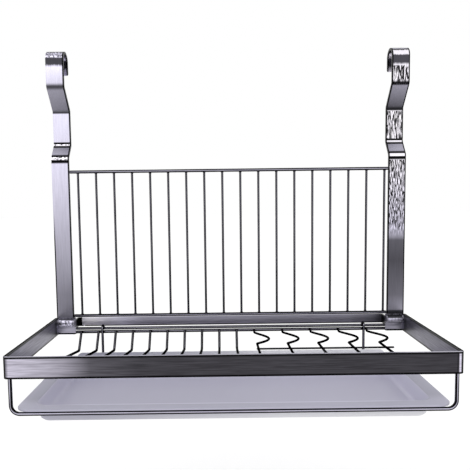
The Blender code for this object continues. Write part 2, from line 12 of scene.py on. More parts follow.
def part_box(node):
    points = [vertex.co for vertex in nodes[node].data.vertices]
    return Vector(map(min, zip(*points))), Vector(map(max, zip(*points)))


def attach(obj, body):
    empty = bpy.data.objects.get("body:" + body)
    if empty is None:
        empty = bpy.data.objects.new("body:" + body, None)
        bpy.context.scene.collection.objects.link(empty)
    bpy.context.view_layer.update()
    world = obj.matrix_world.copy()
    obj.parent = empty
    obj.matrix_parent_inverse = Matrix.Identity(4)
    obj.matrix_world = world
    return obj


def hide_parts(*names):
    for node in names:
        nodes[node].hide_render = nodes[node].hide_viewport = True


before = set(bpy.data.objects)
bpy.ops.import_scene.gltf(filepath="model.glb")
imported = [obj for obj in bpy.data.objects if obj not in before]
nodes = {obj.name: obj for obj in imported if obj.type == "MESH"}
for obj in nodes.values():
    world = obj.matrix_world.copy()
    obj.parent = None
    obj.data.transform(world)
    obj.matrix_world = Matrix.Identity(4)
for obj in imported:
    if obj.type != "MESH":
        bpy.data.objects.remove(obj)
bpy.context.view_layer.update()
scene = bpy.context.scene
scene.view_settings.view_transform = "Standard"

# The camera looks at the drainer from a little above its middle, a short way off.
# Its place, lens and shift are those that fit the photograph's straight edges.
PHOTO_PIXELS = 470
FOCAL_PIXELS = 558
LENS_CENTRE = (222.3, 243.9)
CAMERA_PLACE = (-0.0101, -0.7158, -0.1722)
CAMERA_PITCH = 0.083
CAMERA_YAW = 0.001
CAMERA_ROLL = -0.012
SENSOR = 36
NEAR_CLIP = 0.01

camera = bpy.data.objects.new("camera", bpy.data.cameras.new("camera"))
scene.collection.objects.link(camera)
scene.camera = camera
camera.data.sensor_width = SENSOR
camera.data.lens = FOCAL_PIXELS * SENSOR / PHOTO_PIXELS
camera.data.shift_x = 0.5 - LENS_CENTRE[0] / PHOTO_PIXELS
camera.data.shift_y = LENS_CENTRE[1] / PHOTO_PIXELS - 0.5
camera.data.clip_start = NEAR_CLIP
camera.matrix_world = (
    Matrix.Translation(CAMERA_PLACE)
    @ Matrix.Rotation(-CAMERA_YAW, 4, "Z")
    @ Matrix.Rotation(math.pi / 2 - CAMERA_PITCH, 4, "X")
    @ Matrix.Rotation(CAMERA_ROLL, 4, "Z")
)


class Value:
    """A shader value; arithmetic on it adds the Math nodes that work it out."""

    def __init__(self, tree, socket):
        self.tree = tree
        self.socket = socket

    def maths(self, operation, first, second):
        node = self.tree.nodes.new("ShaderNodeMath")
        node.operation = operation
        for slot, value in zip(node.inputs, (first, second)):
            fill(self.tree, slot, value)
        return Value(self.tree, node.outputs[0])

    def __add__(self, other):
        return self.maths("ADD", self, other)

    def __radd__(self, other):
        return self.maths("ADD", other, self)

    def __sub__(self, other):
        return self.maths("SUBTRACT", self, other)

    def __rsub__(self, other):
        return self.maths("SUBTRACT", other, self)

    def __mul__(self, other):
        return self.maths("MULTIPLY", self, other)

    def __rmul__(self, other):
        return self.maths("MULTIPLY", other, self)

    def __lt__(self, other):
        return self.maths("LESS_THAN", self, other)

    def __gt__(self, other):
        return self.maths("GREATER_THAN", self, other)

    def __abs__(self):
        return self.maths("ABSOLUTE", self, 0)

    def least(self, other):
        return self.maths("MINIMUM", self, other)

    def most(self, other):
        return self.maths("MAXIMUM", self, other)


def fill(tree, slot, value):
    """Links a shader value to a socket, or sets the socket to a plain value."""
    if isinstance(value, Value):
        tree.links.new(value.socket, slot)
    else:
        slot.default_value = value


def add_node(tree, kind, settings, values, output=0):
    """Adds a shader node: first its settings, then the values or links of its sockets."""
    node = tree.nodes.new("ShaderNode" + kind)
    for name, setting in settings.items():
        if name == "stops":
            ramp = node.color_ramp.elements
            ramp.remove(ramp[1])
            ramp[0].position, ramp[0].color = setting[0]
            for place, colour in setting[1:]:
                ramp.new(place).color = colour
        else:
            setattr(node, name, setting)
    for name, value in values.items():
        fill(tree, node.inputs[name], value)
    return Value(tree, node.outputs[output])


# The air round the object is a plain white studio, which the camera and every mirror-like
# surface see at full white; it lights the object a little less than that.
STUDIO_LIGHT = 0.86

world = bpy.data.worlds.new("studio")
scene.world = world
world.use_nodes = True
air = world.node_tree


def seen_directly(tree):
    """1 for what the camera sees itself, in a reflection or through a clear body, else 0."""
    straight = add_node(tree, "LightPath", {}, {}, "Is Camera Ray")
    mirrored = add_node(tree, "LightPath", {}, {}, "Is Glossy Ray")
    through = add_node(tree, "LightPath", {}, {}, "Is Transmission Ray")
    return straight.most(mirrored).most(through)


sky = air.nodes["Background"]
sky.inputs["Color"].default_value = (1, 1, 1, 1)
fill(air, sky.inputs["Strength"], seen_directly(air) * (1 - STUDIO_LIGHT) + STUDIO_LIGHT)

# Two soft boxes: a large one over the left shoulder, and a low weak one from the right.
LAMPS = (
    ("left_soft_box", (-0.75, -1.05, 0.65), 0.9, 3.0),
    ("right_soft_box", (0.95, -0.85, 0.10), 0.7, 1.2),
)
AIM = Vector((0, -0.06, -0.22))

for name, place, width, power in LAMPS:
    lamp = bpy.data.objects.new(name, bpy.data.lights.new(name, "AREA"))
    scene.collection.objects.link(lamp)
    lamp.data.size = width
    lamp.data.energy = power
    lamp.location = place
    lamp.rotation_mode = "QUATERNION"
    lamp.rotation_quaternion = (AIM - Vector(place)).to_track_quat("-Z", "Y")

# The floor is a wide pale plane some way below the tray; it keeps a soft shadow.
FLOOR_DROP = 0.60
FLOOR_WIDTH = 24.0
FLOOR_COLOUR = (0.80, 0.80, 0.80, 1)
FLOOR_ROUGHNESS = 0.9
FLOOR_GLOW = 0.32

bm = bmesh.new()
bmesh.ops.create_grid(bm, x_segments=1, y_segments=1, size=FLOOR_WIDTH / 2)
bmesh.ops.translate(bm, verts=bm.verts, vec=(0, 0, -FLOOR_DROP))
floor_mesh = bpy.data.meshes.new("floor")
bm.to_mesh(floor_mesh)
bm.free()
floor = bpy.data.objects.new("floor", floor_mesh)
scene.collection.objects.link(floor)
pale = bpy.data.materials.new("pale_floor")
pale.use_nodes = True
floor_shader = pale.node_tree.nodes["Principled BSDF"]
floor_shader.inputs["Base Color"].default_value = FLOOR_COLOUR
floor_shader.inputs["Roughness"].default_value = FLOOR_ROUGHNESS
floor_shader.inputs["Emission Strength"].default_value = FLOOR_GLOW
seen = seen_directly(pale.node_tree)
glow = add_node(pale.node_tree, "CombineColor", {}, {"Red": seen, "Green": seen, "Blue": seen})
fill(pale.node_tree, floor_shader.inputs["Emission Color"], glow)
floor_mesh.materials.append(pale)

# The two straps are flat steel bar, bent round a rail at the top and stepped back to the wall.
# They are brushed along their length, and the right one has dark dashes near its top.
# Their tones are painted light and shade, with painted highlights at the bends and painted shade
# on the edges.
EASED_EDGE = 0.00035
SHARP_ANGLE = math.radians(50)
CORNER_ANGLE = math.radians(32)
FLAT_ANGLE = math.radians(1)
MERGE = 0.00001
STEEL_TINT = (1.0, 0.985, 1.07)


def link_piece(name, mesh, finish, body, slot, *replaced):
    """Makes the mesh a piece that rides on a body and stands for these CAD nodes."""
    mesh.shade_smooth()
    mesh.set_sharp_from_angle(angle=SHARP_ANGLE)
    mesh.materials.append(finish)
    piece = bpy.data.objects.new(name, mesh)
    scene.collection.objects.link(piece)
    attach(piece, body)
    if replaced:
        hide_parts(*replaced)
    return piece


def eased_piece(name, node, width, finish, body, slot):
    """Stands for a CAD node: a merged copy of it with its real corners rounded a little."""
    bm = bmesh.new()
    bm.from_mesh(nodes[node].data)
    bmesh.ops.remove_doubles(bm, verts=bm.verts, dist=MERGE)
    bmesh.ops.join_triangles(
        bm, faces=bm.faces, angle_face_threshold=FLAT_ANGLE, angle_shape_threshold=math.pi
    )
    corners = [e for e in bm.edges if e.is_manifold and e.calc_face_angle() > CORNER_ANGLE]
    bmesh.ops.bevel(
        bm,
        geom=corners,
        offset=width,
        offset_type="OFFSET",
        segments=2,
        profile=0.5,
        affect="EDGES",
        material=-1,
        clamp_overlap=True,
    )
    mesh = bpy.data.meshes.new(name)
    bm.to_mesh(mesh)
    bm.free()
    piece = link_piece(name, mesh, finish, body, slot, node)
    even = piece.modifiers.new("even_shading", "WEIGHTED_NORMAL")
    even.keep_sharp = True
    return piece


def tone(level, tint=STEEL_TINT):
    """A grey of this display level, 0 to 255, with a slight tint, as shader colour."""
    shade = [min(level * part / 255, 1) for part in tint]
    # This is the curve of a standard display, read backwards.
    return (
        *[(part + 0.055) ** 2.4 / 1.13712 if part > 0.04 else part / 12.92 for part in shade],
        1,
    )


def metal(name, level):
    """A new steel finish: its material, node tree and shader."""
    material = bpy.data.materials.new(name)
    material.use_nodes = True
    material.diffuse_color = tone(level)
    shader = material.node_tree.nodes["Principled BSDF"]
    shader.inputs["Metallic"].default_value = 1
    return material, material.node_tree, shader


def parts_of(tree, kind):
    """Texture coordinates of a kind as one vector and as three values."""
    whole = add_node(tree, "TexCoord", {}, {}, kind)
    return whole, [add_node(tree, "SeparateXYZ", {}, {"Vector": whole}, axis) for axis in "XYZ"]


def noise(tree, place, stretch, detail=3.0):
    """Noise that is fine along the axes with a large stretch; its mean is about a half."""
    scaled = add_node(tree, "Mapping", {}, {"Vector": place, "Scale": stretch})
    return add_node(tree, "TexNoise", {}, {"Vector": scaled, "Scale": 1.0, "Detail": detail})


def rise(tree, value, low, high):
    """0 up to low, 1 from high on, and a straight rise between; low may be above high."""
    return add_node(tree, "MapRange", {}, {"Value": value, "From Min": low, "From Max": high})


def graded(tree, along, stops, tint=STEEL_TINT):
    """A colour that runs through grey levels, each at its place in metres along a line."""
    low = stops[0][0]
    length = stops[-1][0] - low
    spread = [((place - low) / length, tone(level, tint)) for place, level in stops]
    return add_node(tree, "ValToRGB", {"stops": spread}, {"Fac": (along - low) * (1 / length)})


def blended(tree, first, second, share, blend="MIX"):
    """Two colours mixed by a share, or one multiplied by the other."""
    settings = {"data_type": "RGBA", "blend_type": blend, "clamp_factor": True}
    # The Mix node's colours go into its sockets 6 and 7 and come out of its third one.
    return add_node(tree, "Mix", settings, {0: share, 6: first, 7: second}, 2)


def shaded(tree, colour, value):
    """A colour made darker or lighter by a value."""
    grey = add_node(tree, "CombineColor", {}, {"Red": value, "Green": value, "Blue": value})
    return blended(tree, colour, grey, 1.0, "MULTIPLY")


def streaked(tree, colour, pattern, swing):
    """A colour that a pattern, whose mean is a half, makes lighter and darker by half a swing."""
    return shaded(tree, colour, 1 - swing / 2 + swing * pattern)


SATIN = 0.26
SATIN_SWING = 0.18
SCRATCH_STRENGTH = 0.5


def brushing(tree, shader, place, stretch, depth, dull=0.0):
    """Fine scratches along one direction: a bump, and a little change of roughness."""
    scratch = noise(tree, place, stretch)
    values = {"Height": scratch, "Strength": SCRATCH_STRENGTH, "Distance": depth}
    fill(tree, shader.inputs["Normal"], add_node(tree, "Bump", {}, values))
    fill(tree, shader.inputs["Roughness"], SATIN + SATIN_SWING * scratch + dull)


SOFT_SHARE = 0.75


def near(tree, value, centre, reach):
    """1 close to a centre and 0 beyond its reach, with a soft border."""
    return rise(tree, abs(value - centre), reach, reach * SOFT_SHARE)


STRAP_LEVEL = 160
SCRATCH_DEPTH = 0.00004
STRAP_SCRATCH = (2600, 2600, 60)
STRAP_STREAK = (900, 900, 45)
STRAP_SWING = 0.36
STRAP_OUTER = 0.2250
STRAP_INNER = 0.2030
EDGE_TONE = 8
EDGE_REACH = 0.0018
EDGE_CORE = EDGE_REACH * 0.7
OUTER_EDGE_FROM = (-0.190, -0.225)
# Painted light and shade: upright faces are painted light and slanted ones dim; each stop is a
# place and a level.
LEFT_FACES = (
    (-0.3475, 180), (-0.3150, 132), (-0.2950, 130), (-0.1280, 222), (-0.1165, 176),
    (-0.1070, 150), (-0.0990, 216), (-0.0632, 222), (-0.0622, 66), (-0.0602, 70), (-0.0588, 126),
    (-0.0370, 150), (-0.0345, 70), (-0.0320, 70), (-0.0285, 196), (-0.0090, 220), (-0.0060, 62),
)
RIGHT_FACES = (
    (-0.3475, 60), (-0.3212, 60), (-0.3196, 150), (-0.3000, 106), (-0.2550, 78), (-0.2290, 93),
    (-0.2130, 226), (-0.1280, 250), (-0.1165, 176), (-0.1070, 166), (-0.0990, 250),
    (-0.0640, 250), (-0.0628, 34), (-0.0600, 40), (-0.0584, 92), (-0.0362, 148),
    (-0.0348, 46), (-0.0322, 46), (-0.0300, 250), (-0.0120, 250), (-0.0085, 74),
)
# Over the hook's top painted light runs in bands, a painted reflection: a light one on the left,
# two on the right.
LEFT_HOOK = ((0.0018, 46), (0.0034, 240), (0.0060, 200), (0.0086, 236), (0.0096, 20))
RIGHT_HOOK = (
    (0.0004, 68), (0.0018, 250), (0.0062, 250), (0.0074, 30), (0.0088, 40), (0.0094, 230),
    (0.0102, 20),
)
HOOK_STREAK = (1100, 60, 60)
RAGGED_BY = 0.0036
RAGGED_FROM = -0.012
# The two lower bends have a painted highlight line with a painted shade border, each centre and
# reach.
BEND_BORDERS = ((-0.1026, 0.0042), (-0.1212, 0.0061))
BEND_LINES = ((-0.1026, 0.0013), (-0.1206, 0.0021))
BORDER_TONE = 14
LINE_TONE = 250
# The right strap's dashes lie on its upright faces, which are told by depth and height.
DASH = (1350, 1350, 120)
DASH_CUT = (0.517, 0.532)
DASH_DARKNESS = 0.97
DASH_FOOT = (-0.226, -0.211)
WALL_REST_DEPTH = 0.0112
WALL_REST_TOP = -0.0640
HOOK_LEG_DEPTH = -0.0100
HOOK_LEG_TOP = -0.0120
LONG_LEG_TOP = -0.1270
# The left hook's dark mottle: its grain, where it begins, and how it breaks up the painted
# highlight lines.
HOOK_MOTTLE = (520, 800, 800)
HOOK_MOTTLE_CUT = (0.52, 0.46)
HOOK_MOTTLE_DARKNESS = 0.85
HOOK_MOTTLE_FOOT = (0.0020, 0.0032)
HIGHLIGHT_BREAK_CUT = (0.40, 0.50)

STRAPS = (("left", -1, LEFT_FACES, LEFT_HOOK), ("right", 1, RIGHT_FACES, RIGHT_HOOK))

for side, sign, faces, hook in STRAPS:
    material, tree, shader = metal(f"{side}_strap_steel", STRAP_LEVEL)
    place, (x, y, z) = parts_of(tree, "Object")
    # The brushing makes the borders of the painted light bands over the hook ragged.
    shift = RAGGED_BY * (noise(tree, place, HOOK_STREAK, 2.0) - 0.5)
    ragged = z + shift * (z > RAGGED_FROM)
    over_hook = ragged > hook[0][0]
    colour = blended(tree, graded(tree, ragged, faces), graded(tree, ragged, hook), over_hook)
    brushing(tree, shader, place, STRAP_SCRATCH, SCRATCH_DEPTH)
    if side == "right":
        # Dark dashes break the painted light of the upright faces, none on the slanted ones.
        cut = rise(tree, noise(tree, place, DASH, 1.0), *DASH_CUT)
        wall_rest = (y > WALL_REST_DEPTH) * (z < WALL_REST_TOP)
        hook_leg = (y < HOOK_LEG_DEPTH) * (z < HOOK_LEG_TOP)
        upright = (wall_rest + hook_leg + (z < LONG_LEG_TOP)).least(1.0)
        dashed = rise(tree, z, *DASH_FOOT) * upright * (1 - cut)
        colour = shaded(tree, colour, 1 - DASH_DARKNESS * dashed)
        kept_highlight = 1.0
    else:
        # A dark mottle darkens the painted light on this hook's top and breaks up the painted
        # highlight lines at its lower bends.
        hook_mottle = noise(tree, place, HOOK_MOTTLE, 2.0)
        hook_mottled = rise(tree, hook_mottle, *HOOK_MOTTLE_CUT) * rise(tree, z, *HOOK_MOTTLE_FOOT)
        colour = shaded(tree, colour, 1 - HOOK_MOTTLE_DARKNESS * hook_mottled)
        kept_highlight = rise(tree, hook_mottle, *HIGHLIGHT_BREAK_CUT)
    # Painted shade borders and painted highlight lines at the two lower bends.
    for (border, wide), (line, narrow) in zip(BEND_BORDERS, BEND_LINES):
        colour = blended(tree, colour, tone(BORDER_TONE), near(tree, z, border, wide))
        colour = blended(tree, colour, tone(LINE_TONE), near(tree, z, line, narrow) * kept_highlight)
    colour = streaked(tree, colour, noise(tree, place, STRAP_STREAK, 2.0), STRAP_SWING)
    # Painted shade: the narrow edges are darker than the faces, but the left strap's outer one
    # only low down.
    out = sign * x
    outer_line = rise(tree, out, STRAP_OUTER - EDGE_REACH, STRAP_OUTER - EDGE_CORE)
    if side == "left":
        outer_line = outer_line * rise(tree, z, *OUTER_EDGE_FROM)
    inner_line = rise(tree, out, STRAP_INNER + EDGE_REACH, STRAP_INNER + EDGE_CORE)
    colour = blended(tree, colour, tone(EDGE_TONE), outer_line.most(inner_line))
    fill(tree, shader.inputs["Base Color"], colour)
    node = f"{side}_strap"
    eased_piece(f"{side}_hook_strap", node, EASED_EDGE, material, "hanging_frame", "bar_steel")

# The back grid is a top and a bottom wire between the straps, and upright wires between them.
# All are drawn steel wire, resistance-welded where they meet, with a small bead at each weld.
WIRE_SIDES = 20
END_EASE = 0.3
UPRIGHT_RADIUS = 0.0014
GRID_RADIUS = 0.0020


def drawn_wire(name, path, radius):
    """A round wire: a disc pushed along the path, turned at each bend, with eased ends."""
    bm = bmesh.new()
    heads = [(after - before).normalized() for before, after in zip(path, path[1:])]
    facing = [heads[0]]
    facing += [(before + after).normalized() for before, after in zip(heads, heads[1:])]
    facing += [heads[-1]]
    start = Matrix.Translation(path[0]) @ facing[0].to_track_quat("Z", "Y").to_matrix().to_4x4()
    bmesh.ops.create_circle(bm, cap_ends=True, segments=WIRE_SIDES, radius=radius, matrix=start)
    bm.faces.ensure_lookup_table()
    end = bm.faces[0]
    for before, after, old, new in zip(path, path[1:], facing, facing[1:]):
        grown = bmesh.ops.extrude_face_region(bm, geom=[end])["geom"]
        end = next(item for item in grown if isinstance(item, bmesh.types.BMFace))
        bmesh.ops.translate(bm, verts=end.verts, vec=after - before)
        turn = old.rotation_difference(new).to_matrix()
        bmesh.ops.rotate(bm, verts=end.verts, cent=after, matrix=turn)
    rims = [e for e in bm.edges if any(len(f.verts) == WIRE_SIDES for f in e.link_faces)]
    bmesh.ops.bevel(
        bm,
        geom=rims,
        offset=radius * END_EASE,
        offset_type="OFFSET",
        segments=2,
        profile=0.5,
        affect="EDGES",
        material=-1,
    )
    bmesh.ops.recalc_face_normals(bm, faces=bm.faces)
    mesh = bpy.data.meshes.new(name)
    bm.to_mesh(mesh)
    bm.free()
    return mesh


def straight_path(node):
    """The two ends of a straight wire's axis, from its CAD node's box."""
    low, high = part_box(node)
    middle = (low + high) / 2
    spans = high - low
    axis = max(range(3), key=lambda index: spans[index])
    half = Vector([spans[axis] / 2 if index == axis else 0 for index in range(3)])
    return [middle - half, middle + half]


BLACK = (0, 0, 0, 1)
WIRE_PATCH = (60, 60, 60)
WIRE_SWING = 0.40
WIRE_MARKS = (1500, 1500, 1500)
WIRE_MARK_STRENGTH = 0.25
WIRE_MARK_DEPTH = 0.00002
WIRE_ROUGHNESS = 0.18
WIRE_ROUGHNESS_SWING = 0.12
LINE_FADE = (-0.03, 0.01)


def wire_finish(name, look, bright_side):
    """Drawn steel wire: dark, with a painted highlight line along each of the sides that face
    out.

    A look holds the levels of the dark sides, partly the steel's own colour and partly painted
    shade, and of the painted highlight line, and how squarely a face on the line has to point at
    one of the bright sides: a share near 1 makes the line narrow.
    """
    sides, core, share = look
    material, tree, shader = metal(name, sides)
    shader.inputs["Specular Tint"].default_value = BLACK
    place, _ = parts_of(tree, "Object")
    _, faces = parts_of(tree, "Normal")
    shine = abs(sum((part * weight for part, weight in zip(faces, bright_side)), start=0.0))
    shine = shine.most(abs(faces[0])).most(abs(faces[2]))
    patch = noise(tree, place, WIRE_PATCH)
    line = rise(tree, shine, share + LINE_FADE[0], share + LINE_FADE[1])
    colour = streaked(tree, blended(tree, tone(sides), tone(core), line), patch, WIRE_SWING)
    fill(tree, shader.inputs["Base Color"], colour)
    mark = noise(tree, place, WIRE_MARKS, 2.0)
    values = {"Height": mark, "Strength": WIRE_MARK_STRENGTH, "Distance": WIRE_MARK_DEPTH}
    fill(tree, shader.inputs["Normal"], add_node(tree, "Bump", {}, values))
    fill(tree, shader.inputs["Roughness"], WIRE_ROUGHNESS + WIRE_ROUGHNESS_SWING * patch)
    return material


BEAD_SIDES = 12
BEAD_RINGS = 8


def beads(name, places, size, finish, body):
    """A group of like weld beads, small flattened balls, as one piece."""
    bm = bmesh.new()
    for place in places:
        form = Matrix.Translation(place) @ Matrix.Diagonal((*size, 1))
        bmesh.ops.create_uvsphere(
            bm, u_segments=BEAD_SIDES, v_segments=BEAD_RINGS, radius=1, matrix=form
        )
    mesh = bpy.data.meshes.new(name)
    bm.to_mesh(mesh)
    bm.free()
    return link_piece(name, mesh, finish, body, "wire_steel")


# Each wire look: the sides' dark level, the painted highlight's level, and the line's share.
TO_FRONT = (0, -1, 0)
FRAME_WIRE_LOOK = (16, 158, 0.972)
UPRIGHT_LOOK = (14, 104, 0.96)
GRID_WELD = (0.0018, 0.0018, 0.0009)

frame_wire_steel = wire_finish("frame_wire_steel", FRAME_WIRE_LOOK, TO_FRONT)
for node in ("back_top_wire", "back_bottom_wire"):
    mesh = drawn_wire(f"{node}_drawn", straight_path(node), GRID_RADIUS)
    link_piece(f"{node}_drawn", mesh, frame_wire_steel, "hanging_frame", "wire_steel", node)
upright_steel = wire_finish("upright_wire_steel", UPRIGHT_LOOK, TO_FRONT)
uprights = [name for name in sorted(nodes) if name.startswith("back_wire_")]
weld_places = []
for node in uprights:
    foot, top = straight_path(node)
    mesh = drawn_wire(f"{node}_drawn", [foot, top], UPRIGHT_RADIUS)
    link_piece(f"{node}_drawn", mesh, upright_steel, "hanging_frame", "wire_steel", node)
    weld_places += [foot, top]
beads("grid_welds", weld_places, GRID_WELD, upright_steel, "hanging_frame")

# The crossbar is a flat steel bar that stands the frame's foot off the wall.
# Its two ends are bent forwards and welded to the straps; it is brushed along its length.
CROSSBAR_LEVEL = 110
# Along its length the bar is painted light at the left end and darker to the right, a painted
# reflection.
CROSSBAR_TONES = ((-0.1800, 250), (-0.1400, 220), (-0.1150, 182), (0.1600, 160), (0.2027, 90))
CROSSBAR_SCRATCH = (60, 2600, 2600)
CROSSBAR_STREAK = (40, 900, 900)
CROSSBAR_SWING = 0.5
CROSSBAR_BENDS = (-0.1962, 0.2008)
CROSSBAR_FOOT = (-0.3382, -0.3388)
CROSSBAR_RIM_TONE = 12
CROSSBAR_GLINT = (-0.1936, 0.0011)
SIDEWAYS = (0.35, 0.75)

material, tree, shader = metal("crossbar_steel", CROSSBAR_LEVEL)
place, (x, _, z) = parts_of(tree, "Object")
_, (face_x, _, _) = parts_of(tree, "Normal")
brushing(tree, shader, place, CROSSBAR_SCRATCH, SCRATCH_DEPTH)
colour = graded(tree, x, CROSSBAR_TONES)
colour = streaked(tree, colour, noise(tree, place, CROSSBAR_STREAK), CROSSBAR_SWING)
# Painted shade on the bent ends' faces, the ends and the lower edge; the left bend has a painted
# highlight line.
rim = rise(tree, abs(face_x), *SIDEWAYS).most(rise(tree, z, *CROSSBAR_FOOT))
rim = rim.most(x < CROSSBAR_BENDS[0]).most(x > CROSSBAR_BENDS[1])
colour = blended(tree, colour, tone(CROSSBAR_RIM_TONE), rim)
colour = blended(tree, colour, tone(LINE_TONE), near(tree, x, *CROSSBAR_GLINT))
fill(tree, shader.inputs["Base Color"], colour)
eased_piece("wall_crossbar", "crossbar", EASED_EDGE, material, "hanging_frame", "bar_steel")

# Each hinge is a pressed steel channel on the strap's foot, with two ears, and a bright pin.
# The channel is satin; the pin is cut from drawn rod and peened a little at its ends.
HINGE_EDGE = 0.0002
HINGE_LEVEL = 132
HINGE_SCRATCH = (2400, 2400, 60)
HINGE_SCRATCH_DEPTH = 0.00003
HINGE_MOTTLE = (700, 700, 300)
HINGE_CUT = (0.35, 0.65)
HINGE_TONES = (92, 176)
HINGE_FOOT_TONE = 10
HINGE_FOOT = (0.0020, 0.0014)
PIN_RADIUS = 0.0020
# The pin's look: dark sides and a painted highlight line, as on the wires.
PIN_LOOK = (70, 220, 0.965)

pin_steel = wire_finish("pin_steel", PIN_LOOK, TO_FRONT)
for side in ("left", "right"):
    node = f"{side}_hinge_bracket"
    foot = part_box(node)[0].z
    hinge_steel, tree, shader = metal(f"{side}_hinge_steel", HINGE_LEVEL)
    place, (_, _, z) = parts_of(tree, "Object")
    brushing(tree, shader, place, HINGE_SCRATCH, HINGE_SCRATCH_DEPTH)
    patch = rise(tree, noise(tree, place, HINGE_MOTTLE), *HINGE_CUT)
    colour = blended(tree, *[tone(level) for level in HINGE_TONES], patch)
    # Painted shade: a dark line along the channel's foot.
    foot_line = rise(tree, z, foot + HINGE_FOOT[0], foot + HINGE_FOOT[1])
    colour = blended(tree, colour, tone(HINGE_FOOT_TONE), foot_line)
    fill(tree, shader.inputs["Base Color"], colour)
    channel = f"{side}_hinge_channel"
    eased_piece(channel, node, HINGE_EDGE, hinge_steel, "hanging_frame", "bar_steel")
    node = f"{side}_hinge_pin"
    mesh = drawn_wire(f"{side}_pin_rod", straight_path(node), PIN_RADIUS)
    link_piece(f"{side}_pin_rod", mesh, pin_steel, "hanging_frame", "pin_steel", node)

# The shelf frame is one flat steel bar bent to a wide U; its ends turn in and are rolled
# into the hinges' barrels. It is brushed lengthwise, and a painted reflection of the room
# runs along its long front.
SHELF_LEVEL = 80
FRONT_FACE = -0.1826
# Along the front and along the sides the bar's painted light and shade runs through these
# stops; the right side is painted a little darker than the left one, as shade.
FRONT_TONES = (
    (-0.2225, 16), (-0.2190, 194), (-0.1670, 152), (-0.1400, 86), (-0.0900, 64), (0.2172, 62),
    (0.2178, 22), (0.2190, 22), (0.2196, 236), (0.2215, 236), (0.2221, 14),
)
SIDE_TONES = (
    (-0.1860, 138), (-0.1400, 150), (-0.0600, 142), (-0.0280, 112), (-0.0180, 44), (-0.0140, 44),
    (-0.0120, 170), (-0.0030, 170),
)
FRONT_TINT = (1.0, 0.978, 1.055)
RIGHT_SIDE_SHADE = 0.28
SHELF_SCRATCH = (60, 60, 2600)
SHELF_STREAK = (40, 40, 1000)
SHELF_SWING = 1.4
CORNERS = (0.2222, 0.2228)
CORNER_DULLNESS = 0.55
# The left barrels are mottled; the right ones are painted dark on top, as shade, with a painted
# highlight line under that.
BARRELS_DEPTH = -0.0140
BARRELS_FOOT = -0.3360
BARREL_MOTTLE = (700, 500, 300)
BARREL_CUT = (0.40, 0.60)
BARREL_SWING = 0.40
LEFT_BARRELS = (96, 220)
RIGHT_BARRELS = (
    (-0.3351, 112), (-0.3318, 128), (-0.3306, 215), (-0.3292, 215), (-0.3282, 60), (-0.3257, 50),
)
# Painted shade: a dark line runs under the bar's top and one along its foot; the top itself is
# an edge, painted light along the front and dark along the sides.
TOP_LINE = (-0.3263, -0.3256)
TOP_LINE_TONE = 22
FOOT_LINE = (-0.3437, -0.3444)
FOOT_LINE_TONE = 10
UPPER_EDGES = (16, 170)
UPWARDS = (0.80, 0.95)

material, tree, shader = metal("shelf_bar_steel", SHELF_LEVEL)
place, (x, y, z) = parts_of(tree, "Object")
_, (_, _, face_z) = parts_of(tree, "Normal")
dull = CORNER_DULLNESS * rise(tree, abs(x), *CORNERS)
brushing(tree, shader, place, SHELF_SCRATCH, SCRATCH_DEPTH, dull)
front = graded(tree, x, FRONT_TONES, FRONT_TINT)
sides = shaded(tree, graded(tree, y, SIDE_TONES), 1 - RIGHT_SIDE_SHADE * (x > 0))
colour = blended(tree, sides, front, y < FRONT_FACE)
colour = streaked(tree, colour, noise(tree, place, SHELF_STREAK, 4.0), SHELF_SWING)
mottle = rise(tree, noise(tree, place, BARREL_MOTTLE), *BARREL_CUT)
left_barrels = blended(tree, *[tone(level) for level in LEFT_BARRELS], mottle)
right_barrels = streaked(tree, graded(tree, z, RIGHT_BARRELS), mottle, BARREL_SWING)
rolled = (y > BARRELS_DEPTH) * (z > BARRELS_FOOT)
colour = blended(tree, colour, blended(tree, left_barrels, right_barrels, x > 0), rolled)
colour = blended(tree, colour, tone(TOP_LINE_TONE), rise(tree, z, *TOP_LINE))
upper_edge = blended(tree, *[tone(level) for level in UPPER_EDGES], y < FRONT_FACE)
colour = blended(tree, colour, upper_edge, rise(tree, face_z, *UPWARDS))
colour = blended(tree, colour, tone(FOOT_LINE_TONE), rise(tree, z, *FOOT_LINE))
fill(tree, shader.inputs["Base Color"], colour)
eased_piece("shelf_band", "shelf_frame", EASED_EDGE, material, "shelf", "bar_steel")

# Three straight wires cross the shelf: two at the rear between the leaves, and one behind
# the front bar. The floor's other wires are welded to them.
RAILS = (("rear_upper_rail", 0.0018), ("rear_lower_rail", 0.0020), ("front_rail", 0.0020))
RAIL_LOOK = (12, 128, 0.972)
FORWARDS_AND_UP = (0, -0.97, 0.24)

rail_steel = wire_finish("floor_rail_steel", RAIL_LOOK, FORWARDS_AND_UP)
for node, radius in RAILS:
    mesh = drawn_wire(f"{node}_drawn", straight_path(node), radius)
    link_piece(f"{node}_drawn", mesh, rail_steel, "shelf", "wire_steel", node)

# Plate wires: each leaves the rear rail, drops into a trough and rises straight to the front.
# A plate stands with its rim in the trough between two of them.
PLATE_WIRES = 10
PLATE_RADIUS = 0.0016
PLATE_FIRST_X = -0.192
PLATE_PITCH = 0.022177
PLATE_CORNERS = ((-0.00885, -0.3418), (-0.0240, -0.3630), (-0.1824, -0.3394))
PLATE_BEND = 0.003
BEND_STEPS = 8
PLATE_LOOK = (12, 92, 0.955)
TROUGH_SIDE = (0, -0.81, 0.58)
PLATE_WELD = (0.0017, 0.0011, 0.0011)
# The beads sit on the front of the lower rear rail and on top of the front rail.
REAR_WELD_SINK = 0.0002
REAR_WELD_RISE = 0.0008
FRONT_WELD_RISE = 0.0001


